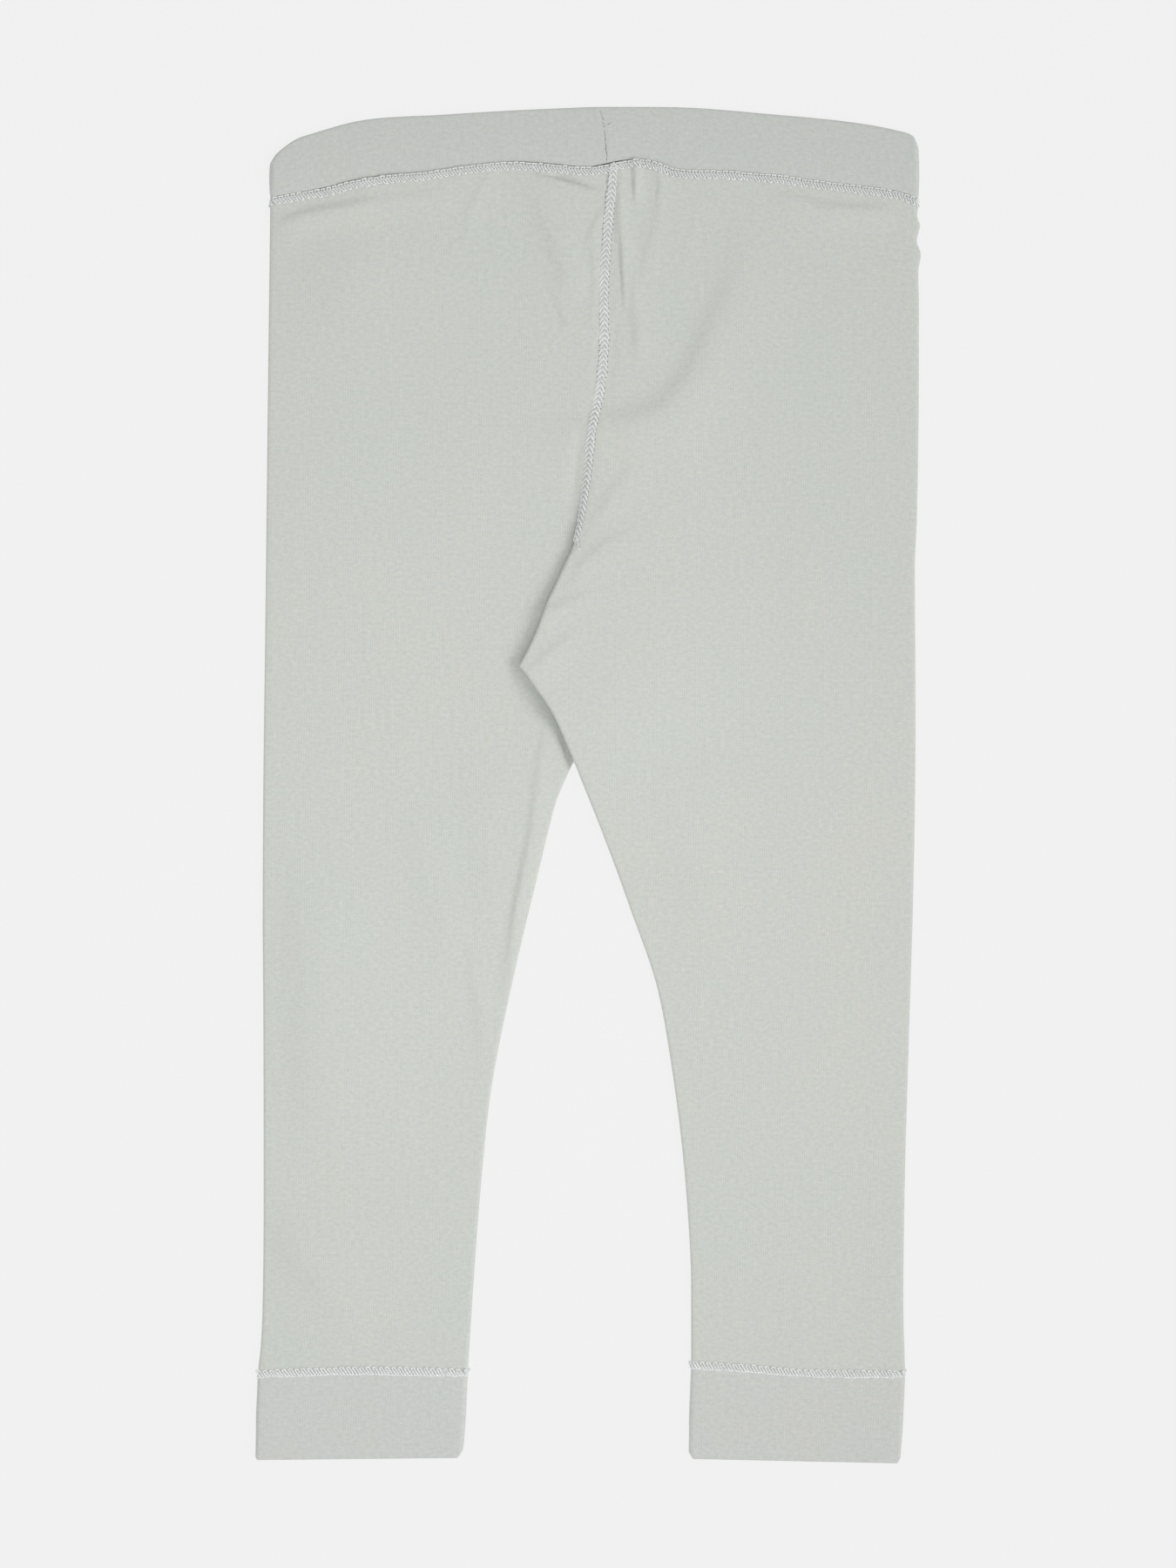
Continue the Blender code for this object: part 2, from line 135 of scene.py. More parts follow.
def knit_group():
    """Shader group for the face of single jersey: ribs of V-shaped loops on a UV map in metres."""
    group = bpy.data.node_groups.new("jersey face", "ShaderNodeTree")
    inputs = (("Cloth", "NodeSocketVector", None), ("Rib Pitch", "NodeSocketFloat", RIB_PITCH),
              ("Loop Pitch", "NodeSocketFloat", LOOP_PITCH), ("Unevenness", "NodeSocketFloat", 0.35),
              ("Place", "NodeSocketVector", None))
    for name, kind, value in inputs:
        socket = group.interface.new_socket(name, in_out="INPUT", socket_type=kind)
        if value is not None:
            socket.default_value = value
    for name in ("Relief", "Tone", "Mottle", "Patch"):
        group.interface.new_socket(name, in_out="OUTPUT", socket_type="NodeSocketFloat")
    nodes, links = group.nodes, group.links
    given, put = nodes.new("NodeGroupInput"), nodes.new("NodeGroupOutput")

    def math_node(kind, a, b=None):
        made = nodes.new("ShaderNodeMath")
        made.operation = kind
        for slot, value in enumerate((a, b)):
            if value is None:
                continue
            if isinstance(value, (int, float)):
                made.inputs[slot].default_value = value
            else:
                links.new(value, made.inputs[slot])
        return made.outputs[0]

    def noise_node(vector, scale, detail, stretch):
        mapping = nodes.new("ShaderNodeMapping")
        mapping.inputs["Scale"].default_value = stretch
        links.new(vector, mapping.inputs["Vector"])
        made = nodes.new("ShaderNodeTexNoise")
        made.inputs["Scale"].default_value = scale
        made.inputs["Detail"].default_value = detail
        made.inputs["Roughness"].default_value = 0.7
        links.new(mapping.outputs[0], made.inputs["Vector"])
        return made.outputs["Fac"]

    split = nodes.new("ShaderNodeSeparateXYZ")
    links.new(given.outputs["Cloth"], split.inputs[0])
    drift = math_node("SUBTRACT", noise_node(given.outputs["Cloth"], 260, 2, (1, 0.35, 1)), 0.5)
    drift = math_node("MULTIPLY", drift, given.outputs["Unevenness"])
    ribs = math_node("DIVIDE", split.outputs["X"], given.outputs["Rib Pitch"])
    across = math_node("ADD", ribs, drift)
    along = math_node("DIVIDE", split.outputs["Y"], given.outputs["Loop Pitch"])
    place = math_node("FRACT", across)
    from_middle = math_node("ABSOLUTE", math_node("SUBTRACT", place, 0.5))
    rib = math_node("COSINE", math_node("MULTIPLY", from_middle, 2 * math.pi))
    leg = math_node("SINE", math_node("MULTIPLY", math_node("ADD", along, from_middle), 2 * math.pi))
    relief = math_node("ADD", math_node("MULTIPLY", rib, -0.5), math_node("MULTIPLY", leg, 0.16))
    links.new(relief, put.inputs["Relief"])
    # Painted shade: this output is low in the hollows between the ribs and darkens the colour there.
    rib_shade = math_node("ADD", math_node("MULTIPLY", relief, 0.5), 0.5)
    links.new(rib_shade, put.inputs["Tone"])
    grain = noise_node(given.outputs["Cloth"], 900, 2, (0.7, 1.1, 1))
    fuzz = noise_node(given.outputs["Cloth"], 3200, 2, (1, 1, 1))
    links.new(math_node("ADD", math_node("MULTIPLY", grain, 0.6), math_node("MULTIPLY", fuzz, 0.4)),
              put.inputs["Mottle"])
    patch = noise_node(given.outputs["Place"], 16, 3, (1, 0.8, 1))
    blotch = noise_node(given.outputs["Cloth"], 420, 2, (1, 1, 1))
    links.new(math_node("MULTIPLY", math_node("ADD", patch, blotch), 0.5), put.inputs["Patch"])
    return group


jersey_face = knit_group()


def mixed(tree, factor, a, b, kind="MIX"):
    """Colour mixed from two, each a value or a socket of the tree."""
    made = tree.nodes.new("ShaderNodeMix")
    made.data_type = "RGBA"
    made.blend_type = kind
    for socket, value in ((made.inputs[0], factor), (made.inputs[6], a), (made.inputs[7], b)):
        if isinstance(value, (tuple, float)):
            socket.default_value = value
        else:
            tree.links.new(value, socket)
    return made.outputs[2]


def spread(tree, value, low, high, to_low=0.0, to_high=1.0):
    """Socket with a value's range drawn out to another range."""
    made = tree.nodes.new("ShaderNodeMapRange")
    settings = (low, high, to_low, to_high)
    for socket, number in zip(("From Min", "From Max", "To Min", "To Max"), settings):
        made.inputs[socket].default_value = number
    tree.links.new(value, made.inputs["Value"])
    return made.outputs[0]


def bumped(tree, shader, height, strength, distance):
    """Relief on a shader from a socket that gives its height."""
    made = tree.nodes.new("ShaderNodeBump")
    made.inputs["Strength"].default_value = strength
    made.inputs["Distance"].default_value = distance
    tree.links.new(height, made.inputs["Height"])
    tree.links.new(made.outputs[0], shader.inputs["Normal"])


def jersey(name, colour):
    """Material of one piece of jersey, from its mean colour."""
    made, tree, shader = shader_material(name, colour, 0.88)
    nodes, links = tree.nodes, tree.links
    shader.inputs["Sheen Weight"].default_value = 0.70
    shader.inputs["Sheen Roughness"].default_value = 0.4
    shader.inputs["Specular IOR Level"].default_value = 0.25
    cloth = nodes.new("ShaderNodeUVMap")
    cloth.uv_map = "cloth"
    place = nodes.new("ShaderNodeTexCoord")
    face = nodes.new("ShaderNodeGroup")
    face.node_tree = jersey_face
    links.new(cloth.outputs["UV"], face.inputs["Cloth"])
    links.new(place.outputs["Object"], face.inputs["Place"])

    red, green, blue, _ = colour
    cool, warm = (red * 0.982, green, blue * 1.012, 1.0), (red * 1.018, green, blue * 0.988, 1.0)
    colour = mixed(tree, spread(tree, face.outputs["Patch"], 0.38, 0.62), cool, warm)
    mottle = spread(tree, face.outputs["Mottle"], 0.3, 0.7, 0.89, 1.11)
    # Painted shade: the colour is darkened in the hollows between the ribs.
    rib_shade = spread(tree, face.outputs["Tone"], 0.1, 0.9, 0.955, 1.035)
    mottled = mixed(tree, 1.0, colour, mottle, "MULTIPLY")
    links.new(mixed(tree, 1.0, mottled, rib_shade, "MULTIPLY"), shader.inputs["Base Color"])
    bumped(tree, shader, face.outputs["Relief"], 0.4, 0.08 * MM)
    return made


leg_jersey = jersey("sage jersey", SAGE)

# The legs.
# Each is one panel of jersey wrapped round from the inseam, with no side seam. Back and front lie
# on each other. The crotch is turned over, so the right leg laps over the left one.
# Distances are in millimetres, and "down" is measured from the waistband's top.

LENGTH = 436.0
CLOTH = 0.8
WAIST_ROW = 24.0
CUFF_ROW = 407.0
HEM_ROW = 434.6
MIDDLE = -0.05
WAIST_DRIFT = 46.0
CUFF_DRIFT = 30.0
PUFF = 0.45
PUFF_REACH = 15.0
EDGE_REACH = 24.0
LAP_REACH = 62.0
FRONT_REACH = 14.0
FOLD_GAIN = 2.0
SHARP = math.radians(50)
LEG_STEPS = (8, 104, 8, 20)
INSEAM_TURN = 2.0
SEAM_GAP = 0.02
DIP = (
    (92, 0), (110, 0.25), (124, 0.3), (139, 0.3), (149, 0.15), (172, 0.15), (179, 0.6),
    (183, 1.0), (187, 1.0), (193, 1.0), (198, 0.6), (213, 0.7), (222, 0),
)
DIP_WIDTH = (
    (92, 10), (124, 10), (141, 6), (172, 5), (180, 7), (187, 10), (193, 10), (198, 6), (206, 3),
    (222, 3),
)

TUBE_HEIGHT = (
    (10, 3.1), (24, 3.1), (42, 2.5), (67, 2.2), (99, 2.1), (139, 2.0), (216, 2.0),
    (332, 2.0), (384, 2.1), (407, 2.4), (436, 2.4),
)
LEFT_SIDE = (
    (0, -102.1), (30, -102.3), (99, -103.1), (162, -103.8), (218, -104.5), (262, -104.7),
    (290, -104.5), (335, -104.4), (379, -104.6), (397, -105.2), (407, -106.2), (436, -107.0),
)
RIGHT_SIDE = (
    (0, 106.5), (20, 106.6), (30, 106.1), (33, 106.9), (38.8, 105.9), (44, 107.2), (51, 106.4),
    (64, 106.6), (99, 106.5), (134, 105.9), (148, 105.3), (190, 105.5), (218, 105.4), (260, 104.6),
    (302, 103.3), (344, 102.1), (386, 101.6), (407, 102.1), (425, 101.2), (436, 100.5),
)
BACK_SEAM = (
    (0, 8.6), (22, 8.3), (31, 7.6), (41, 6.4), (55, 5.2), (80, 4.9), (89.5, 3.9), (104, 1.3),
    (119, -0.2), (134, -2.4), (139, -3.6),
)
FRONT_SEAM = ((0, 1.5), (60, 0.8), (100, 1.2), (140, 3.0), (150, 3.9), (159, 4.3), (180, 4.6))
RIGHT_RIDGE = (
    (139, -3.6), (147, -7.4), (152.5, -9.8), (159, -12.9), (166.7, -15.7), (176.3, -20.1),
    (179.8, -22.1),
)
RIGHT_INSEAM = (
    (179.8, -22.1), (182.1, -20.2), (186.6, -17.0), (192, -13.2), (196, -10.9), (200, -9.0),
    (211, -4.3), (218, -1.5), (232, 4.1), (246, 9.4), (260, 14.4), (274, 19.5), (281, 21.7),
    (288, 23.4), (302, 25.9), (330, 29.8), (358, 32.3), (379, 33.2), (407, 33.2), (436, 32.4),
)
LEFT_HIDDEN = (
    (139, -3.6), (144, -2.6), (150, -1.0), (153, 1.2), (156, 2.8), (159, 3.4), (165, 4.4),
    (175, 5.4), (187, 3.8), (200, -0.5), (211, -4.8),
)
LEFT_INSEAM = (
    (211, -4.9), (218, -8.0), (223, -10.1), (232, -12.5), (246, -15.9), (274, -22.6),
    (302, -28.6), (316, -31.1), (330, -32.8), (358, -35.3), (407, -38.6), (436, -40.2),
)
RIGHT_CURLING = ((139, 0), (144, 0.45), (148.5, 0.85), (150, 1))
LEFT_CURLING = ((150, 0), (153, 0.2), (156, 0.4), (159, 0.72), (162, 1))
BACK_RISE = (
    (70, 0), (100, 0.3), (112, 0.7), (120, 1.1), (131, 1.8), (139, 2.5), (147, 3.1), (156, 3.6),
    (166, 4.0), (190, 4.2), (205, 3.5), (216, 2.6), (223, 1.7), (232, 0.9), (244, 0),
)
LEFT_RISE = ((86, 0), (98, 0.2), (108, 0.45), (118, 0.75), (128, 0.6), (136, 0.2), (142, 0))
FRONT_RISE = (
    (157, 0), (162, 1.5), (166, 2.4), (205, 2.4), (216, 2.2), (223, 1.7), (232, 0.9), (244, 0),
)
BACK_WAIST = (
    (-103, 29.35), (-99, 28.55), (-91, 27.15), (-82.5, 25.65), (-77, 24.05), (-68.5, 22.55),
    (-63, 21.85), (-54.5, 21.35), (-49, 20.55), (-35, 18.55), (-29, 17.95), (-23.7, 17.65),
    (-15, 18.15), (-8, 18.75), (-2.7, 19.25), (1.5, 19.25), (7, 18.35), (12.7, 17.25), (17, 16.85),
    (21, 17.45), (26.7, 19.65), (29.5, 20.15), (43.5, 20.55), (57.5, 21.65), (63, 22.05),
    (68.7, 23.05), (85.5, 25.15), (96.7, 26.55), (102.3, 27.95), (106, 29.35),
)
FRONT_WAIST = ((-103, 29.5), (-60, 28.2), (0, 27.0), (60, 27.9), (106, 29.5))
WAIST_OPEN = (
    (-103, 0.06), (-89, 0.08), (-85, 0.28), (-62, 0.24), (-57, 0.05), (-30, 0.05), (-20, 0.24),
    (-6, 0.24), (0, 0.14), (8, 0.06), (14, 0.1), (22, 0.24), (27, 0.05), (106, 0.05),
)
LEFT_CUFF_SEAM = ((-107, 407.3), (-72, 406.2), (-38, 406.9))
RIGHT_CUFF_SEAM = ((33, 404.8), (52, 405.9), (70, 407.3), (102, 407.7))

# Folds of the back. In each, the cloth steps down on the side away from the light: the half width
# of the step, and the points it runs through, as x, down and step.
FOLDS = (
    (2.4, ((-22, 24, 0.2), (-16, 36.5, 0.7), (-12.7, 43.5, 0.9), (-8, 56, 0.8), (-5, 63, 0.1))),
    (0.9, ((-11, 62, 0.2), (-7, 71, 0.5), (0, 74, 0.3))),
    (0.7, ((7, 28, 0), (2.4, 36, 0.3), (0, 42, 0.3), (-1.5, 47, 0))),
    (0.7, ((9.6, 20, 0.3), (9.4, 37, 0.6), (10.2, 47, 0.6), (10.8, 57.5, 0.5), (11.3, 68, 0))),
    (1.1, ((13.6, 52, 0), (13.9, 60, 0.4), (15, 75, 0.5), (15.3, 84, 0))),
    (0.6, ((14.4, 18, 0.6), (14.5, 26, 0.7), (14.8, 32, 0))),
    (1.0, ((21.7, 16, 0.3), (22, 26, 0.25), (21.1, 37, 0.2), (17.5, 50, 0.2), (15, 58, 0))),
    (0.7, ((1.2, 40, 0), (1.3, 46, 0.25), (1.8, 60, 0.25), (2, 68, 0))),
    (3.4, ((48, 30, 0), (47, 42, 0.25), (45.8, 53, 0.55), (39.3, 67.6, 0.95), (30.9, 85.5, 1.2),
           (22.8, 95, 1.2), (14, 98.6, 1.1), (6, 99.6, 0.8))),
    (1.3, ((14, 114, 0), (11.3, 118, 0.25), (5, 127, 0.35), (-0.5, 136, 0))),
    (1.4, ((17, 134.5, 0), (13, 136.5, 0.2), (4.6, 140.4, 0.35), (-2.7, 146.3, 0.35), (-9, 159, 0))),
    (1.0, ((3, 155.6, 0), (0, 156.4, 0.2), (-8.5, 159.5, 0.4), (-12, 161, 0.4))),
    (1.2, ((-3, 167, 0), (-6.6, 170, 0.25), (-15, 177, 0.4), (-19, 180, 0.3))),
    (0.8, ((-32, 18, 0.1), (-33, 22, 0.16), (-39.3, 34.6, 0.16), (-41, 50, 0))),
    (1.3, ((-101, 36.5, 0.2), (-96, 35.3, 0.7), (-88.6, 33.2, 0.8), (-73.8, 30.6, 0.6),
           (-67, 29.5, 0.15))),
    (1.1, ((-72.4, 29.6, 0), (-56, 28.2, 0.25), (-39.3, 27, 0))),
    (1.3, ((58, 27.5, 0), (65.4, 28.2, 0.4), (77, 31.8, 0.55), (93.4, 32.0, 0.5), (100, 33, 0))),
    (9.0, ((-78, 26, 0.4), (-84, 48, 0.9), (-88, 66, 0.4), (-90, 84, 0))),
    (1.1, ((-14, 200, 0.3), (-16, 208, 0.4), (-19, 233, 0.6), (-24, 258, 0.8), (-28.4, 290, 0))),
    (1.4, ((-39, 270, 0), (-38.5, 277, 0.2), (-35.7, 294, 0.3), (-33.7, 316, 0))),
    (4.5, ((-60, 225, 0), (-57.8, 237, 0.35), (-51, 262, 0.4), (-49.4, 290, 0))),
    (4.5, ((-43, 206, 0), (-39, 225, 0.4), (-35, 252, 0.4), (-32, 268, 0))),
    (5.5, ((-95, 235, 0), (-94.8, 262, 0.8), (-93, 310, 0.8), (-92, 345, 0))),
    (4.5, ((-101, 352, 0), (-98, 368, 0.6), (-88, 381, 0.7), (-74, 396, 0))),
    (5.5, ((18, 208, 0), (23, 222, 0.4), (32, 255, 0.4), (40, 285, 0))),
)
# Creases that lie lower than the cloth on both their sides, in the same way.
GROOVES = (
    (0.75, ((-21, 20.6, 0), (-12, 22.0, 0.8), (-7.5, 22.8, 1.9), (-4.5, 23.7, 1.7), (-1, 24.8, 1.2),
            (4, 26.5, 0))),
    (0.9, ((-62.3, 71, 0), (-44.4, 83, 0.25), (-28, 90.6, 0))),
    (0.5, ((14.3, 19, 0.2), (14.5, 26, 0.5), (14.8, 33, 0))),
    (0.5, ((21.9, 20, 0), (22, 27, 0.35), (21, 36, 0))),
    (0.5, ((10.0, 33, 0), (10.2, 47, 0.5), (10.8, 57.5, 0.5), (11.3, 68, 0))),
    (0.45, ((-9.6, 201.5, 0), (-8.0, 204.5, 0.5), (-6.9, 209, 0.7), (-5.3, 212.2, 0.7))),
    (0.35, ((-7.2, 205.5, 0), (-6.0, 208, 0.4), (-4.7, 210.8, 0.5))),
    (1.9, ((-0.5, 96, 0), (-2.8, 108, 0.5), (-3.9, 117, 0.6), (-4.6, 126, 0.4), (-5.6, 134, 0))),
    (3.0, ((-26, 180, 0.3), (-23, 184, 1.2), (-19.5, 188.5, 1.2), (-15, 194, 0.5), (-11, 199, 0))),
    (0.8, ((3.7, 66, 0), (2.9, 78, 0.12), (1.8, 89, 0.15), (-0.7, 103, 0.1), (-2.1, 112, 0))),
    (1.0, ((9.4, 66, 0), (8.6, 72, 0.15), (7.6, 84, 0.15), (6.4, 92, 0))),
)
TO_LIGHT = (0.95, 0.30)


def smooth(table, at):
    """Values of a table at some stations, on a smooth curve through its rows."""
    rows = np.array(table, float)
    stations, values = rows[:, 0], rows[:, 1]
    slopes = np.diff(values) / np.diff(stations)
    ends = np.concatenate([[slopes[0]], slopes, [slopes[-1]]])
    tangents = np.where(ends[:-1] * ends[1:] <= 0, 0.0, 0.5 * (ends[:-1] + ends[1:]))
    at = np.clip(np.asarray(at, float), stations[0], stations[-1])
    i = np.clip(np.searchsorted(stations, at, side="right") - 1, 0, len(stations) - 2)
    step = stations[i + 1] - stations[i]
    t = (at - stations[i]) / step
    return (
        (2 * t**3 - 3 * t**2 + 1) * values[i]
        + (t**3 - 2 * t**2 + t) * step * tangents[i]
        + (3 * t**2 - 2 * t**3) * values[i + 1]
        + (t**3 - t**2) * step * tangents[i + 1]
    )


def straight(table, at):
    """Values of a table at some stations, on straight lines between its rows."""
    rows = np.array(table, float)
    return np.interp(at, rows[:, 0], rows[:, 1])


def ease(t):
    """Smooth step from 0 at t = 0 to 1 at t = 1."""
    t = np.clip(t, 0.0, 1.0)
    return t * t * (3 - 2 * t)


def back_edge(sign, down):
    """X of the edge of a leg's back at its centre: the seam, the ridge or the inseam."""
    if down <= BACK_SEAM[-1][0]:
        return float(smooth(BACK_SEAM, down)) + sign * SEAM_GAP / 2
    if sign > 0:
        table = RIGHT_RIDGE if down <= RIGHT_RIDGE[-1][0] else RIGHT_INSEAM
    else:
        table = LEFT_HIDDEN if down <= LEFT_HIDDEN[-1][0] else LEFT_INSEAM
    return float(smooth(table, down)) + sign * SEAM_GAP / 2


def side_fold(sign, down):
    """X of a leg's outer fold."""
    return float(smooth(RIGHT_SIDE if sign > 0 else LEFT_SIDE, down))


def crossing(down):
    """X from which the right leg, lying on the left one, slopes down to the table."""
    return max(back_edge(-1, down) + 0.6, back_edge(1, down))


def creased(x, down, half_width, points, groove):
    """Height that one fold or groove adds at some points."""
    reach = half_width if groove else 5 * half_width
    downs = [point[1] for point in points]
    if down.min() > max(downs) + 3 * reach or down.max() < min(downs) - 3 * reach:
        return np.zeros_like(x)
    whole_x, whole_d = points[-1][0] - points[0][0], points[-1][1] - points[0][1]
    side = math.copysign(1, whole_d * TO_LIGHT[0] - whole_x * TO_LIGHT[1])
    nearest, beside, step = np.full_like(x, 1e9), np.zeros_like(x), np.zeros_like(x)
    for (x0, d0, step0), (x1, d1, step1) in zip(points, points[1:]):
        length = math.hypot(x1 - x0, d1 - d0)
        run_x, run_d = (x1 - x0) / length, (d1 - d0) / length
        share = np.clip(((x - x0) * run_x + (down - d0) * run_d) / length, 0, 1)
        off_x, off_d = x - x0 - share * (x1 - x0), down - d0 - share * (d1 - d0)
        away = np.hypot(off_x, off_d)
        closer = away < nearest
        nearest = np.where(closer, away, nearest)
        beside = np.where(closer, side * (off_x * run_d - off_d * run_x), beside)
        step = np.where(closer, step0 + (step1 - step0) * share, step)
    fall_off = step * np.exp(-((nearest / reach) ** 2))
    return -fall_off if groove else 0.5 * fall_off * (1 + np.tanh(beside / half_width))


def folding(x, down):
    """Height that the folds and grooves of the back add at some points."""
    height = sum(creased(x, down, half_width, points, False) for half_width, points in FOLDS)
    return FOLD_GAIN * height + sum(creased(x, down, w, points, True) for w, points in GROOVES)


def rumple(x, down, seed, height):
    """Slight unevenness of cloth that lies loose, drawn out along the leg."""
    wide = [noise.noise(Vector((a / 26, down / 60, seed))) for a in x]
    fine = [noise.noise(Vector((a / 9, down / 22, seed + 7))) for a in x]
    return height * (np.array(wide) + 0.35 * np.array(fine))


def seam_valley(sign, x, down):
    """Depth to which the cloth is drawn down at the seams of the back."""
    waist, cuff = down - WAIST_ROW, CUFF_ROW - down
    depth = 0.12 * math.exp(-((waist / 2.0) ** 2)) + 0.05 * math.exp(-((cuff / 1.6) ** 2))
    if down < 143:
        from_seam = np.abs(x - back_edge(sign, down))
        depth = depth + 0.08 * np.exp(-((from_seam / 1.7) ** 2)) * ease((143 - down) / 4)
    return depth


def back_height(sign, x, down, height):
    """Height of the outer face of a leg's back, which lies uppermost."""
    x = np.asarray(x, float)
    from_side = np.maximum(0.0, np.abs(side_fold(sign, down) - x) - height / 2)
    from_edge = np.abs(x - back_edge(sign, down))
    at_edge = ease((down - 95) / 44)
    swell = 1 - np.exp(-from_side / PUFF_REACH)
    swell = swell * (1 - at_edge * np.exp(-from_edge / EDGE_REACH))
    shape = PUFF + rumple(x, down, 3.1 + sign, 0.22)
    beside = 1 - np.exp(-from_side / 2)
    where = settled(sign, x, np.full_like(x, down), 0.0)
    z = height + swell * shape + beside * (folding(x, where) - seam_valley(sign, x, down))
    if sign > 0:
        return z + smooth(BACK_RISE, down) * (1 - ease((x - crossing(down)) / LAP_REACH))
    z = z + smooth(LEFT_RISE, down) * np.exp(-((from_edge / 4) ** 2))
    width = smooth(DIP_WIDTH, down)
    return z - smooth(DIP, down) * ease((x - back_edge(1, down) + width) / width)


def front_height(sign, x, down):
    """Height of the outer face of a leg's front, which lies on the table but at the crossing."""
    x = np.asarray(x, float)
    if sign < 0:
        return np.zeros_like(x)
    return smooth(FRONT_RISE, down) * (1 - ease((x - crossing(down)) / FRONT_REACH))


def front_end(sign, down, radius):
    """X where a leg's front ends: at the centre front seam, or at the inseam below."""
    seam = float(smooth(FRONT_SEAM, down)) + sign * SEAM_GAP / 2
    inseam = back_edge(sign, down) + sign * (radius + INSEAM_TURN + SEAM_GAP)
    if sign < 0:
        return seam + (inseam - seam) * float(ease((down - 150) / 6))
    beside = back_edge(-1, down) + 0.8
    if down <= 165:
        return seam + (max(beside, seam) - seam) * float(ease((down - 159) / 6))
    return beside + (inseam - beside) * min(1.0, (down - 165) / 10)


def leg_section(sign, down, height=None, steps=LEG_STEPS):
    """Outer points of a leg across one row, as columns x, z, normal x, normal z, front.

    They run from the centre back edge over the back, round the outer fold and along the front
    to the centre front edge.
    """
    lip_steps, back_steps, side_steps, front_steps = steps
    height = height or float(smooth(TUBE_HEIGHT, down))
    radius = height / 2
    edge = back_edge(sign, down)
    fold = side_fold(sign, down) - sign * radius
    arc = math.pi * radius
    length = arc + INSEAM_TURN
    curled = float(straight(RIGHT_CURLING if sign > 0 else LEFT_CURLING, down)) * length
    centre = edge + sign * radius * math.sin(min(curled / radius, math.pi / 2))
    runs = np.append(np.linspace(0, arc, lip_steps + 1)[1:], (length - 1.0, length))
    past = runs - (length - curled)
    turn = np.clip(past, 0, arc) / radius
    straight_on = np.maximum(0, -past) + np.maximum(0, past - arc)
    lip_x = centre + sign * (straight_on - radius * np.sin(turn))
    inner = centre + sign * (length - curled)
    top = float(back_height(sign, lip_x[turn > 0][:1], down, height)[0]) if curled else 0.0
    flat_z = back_height(sign, lip_x, down, height)
    lip_z = np.where(turn > 0, np.maximum(0.0, top - radius * (1 - np.cos(turn))), flat_z)
    lip = np.stack([lip_x, lip_z, -sign * np.sin(turn), np.cos(turn), 0 * turn], 1)[::-1]

    share = np.linspace(0, 1, back_steps + 1)
    back_x = inner + (fold - inner) * share * (0.45 + 0.55 * share)
    zero, one = np.zeros_like(back_x), np.ones_like(back_x)
    back = np.stack([back_x, back_height(sign, back_x, down, height), zero, one, zero], 1)

    turn = math.pi * np.arange(1, side_steps) / side_steps
    side = np.stack([fold + sign * radius * np.sin(turn), radius * (1 + np.cos(turn)),
                     sign * np.sin(turn), np.cos(turn), turn / math.pi], 1)

    end = front_end(sign, down, radius)
    corners, counts = (fold, end), (front_steps - 1,)
    if sign > 0:
        level = max(crossing(down), end + 2.0)
        corners = (fold, level + FRONT_REACH, level, end)
        counts = (front_steps // 2, front_steps // 4, front_steps - front_steps * 3 // 4)
    spans = zip(corners, corners[1:], counts)
    front_x = np.concatenate([np.linspace(a, b, n, endpoint=False) for a, b, n in spans] + [[end]])
    zero, one = np.zeros_like(front_x), np.ones_like(front_x)
    front = np.stack([front_x, front_height(sign, front_x, down), zero, -one, one], 1)
    return np.concatenate([lip, back, side, front])


def waist_line(x, front):
    """Down of the waist seam, on the back, on the front or on the fold between."""
    return (1 - front) * smooth(BACK_WAIST, x) + front * smooth(FRONT_WAIST, x)


def settled(sign, x, down, front):
    """Down of a leg's points, once its rows follow the waist seam and the cuff seam."""
    waist = waist_line(x, front) + straight(WAIST_OPEN, x) / 2 - WAIST_ROW
    cuff = smooth(RIGHT_CUFF_SEAM if sign > 0 else LEFT_CUFF_SEAM, x) - SEAM_GAP / 2 - CUFF_ROW
    down = down + waist * (1 - ease((down - WAIST_ROW) / WAIST_DRIFT))
    return down + cuff * (1 - ease((CUFF_ROW - down) / CUFF_DRIFT))


def placed(x, down, z):
    """Points in metres, with the origin under the middle of the garment."""
    return np.stack([(x - MIDDLE) * MM, (LENGTH / 2 - down) * MM, z * MM], -1)


def grid_mesh(name, points, cloth, flip, closed=False):
    """Smooth mesh through a grid of points, with a UV map in metres on the flat cloth."""
    rows, columns = points.shape[:2]
    mesh = bpy.data.meshes.new(name)
    index = np.arange(rows * columns).reshape(rows, columns)
    if closed:
        index = np.concatenate([index, index[:, :1]], 1)
        cloth = np.concatenate([cloth, cloth[:, -1:] + (cloth[:, -1:] - cloth[:, -2:-1])], 1)
    corners = (index[:-1, :-1], index[:-1, 1:], index[1:, 1:], index[1:, :-1])
    faces = np.stack(corners, -1).reshape(-1, 4)
    maps = np.stack((cloth[:-1, :-1], cloth[:-1, 1:], cloth[1:, 1:], cloth[1:, :-1]), 2)
    maps = maps.reshape(-1, 4, 2)
    if flip:
        faces, maps = faces[:, ::-1], maps[:, ::-1]
    mesh.from_pydata(points.reshape(-1, 3).tolist(), [], faces.tolist())
    layer = mesh.uv_layers.new(name="cloth")
    layer.data.foreach_set("uv", maps.reshape(-1).astype(np.float32))
    mesh.shade_smooth()
    return mesh


def run_length(points):
    """Distance along each row of a grid of points."""
    steps = np.linalg.norm(np.diff(points, axis=1), axis=2)
    return np.concatenate([np.zeros((len(points), 1)), np.cumsum(steps, 1)], 1)


LEG_ROWS = np.unique(np.concatenate([
    np.arange(WAIST_ROW, 34, 0.6), np.arange(34, 104, 0.95), np.arange(104, 176, 1.2),
    np.arange(176, 196, 1.0), np.arange(196, 213, 0.6), np.arange(213, 218, 1.0),
    np.arange(218, 400, 2.1), np.arange(400, CUFF_ROW, 1.0), [139, 179.8, CUFF_ROW],
]))


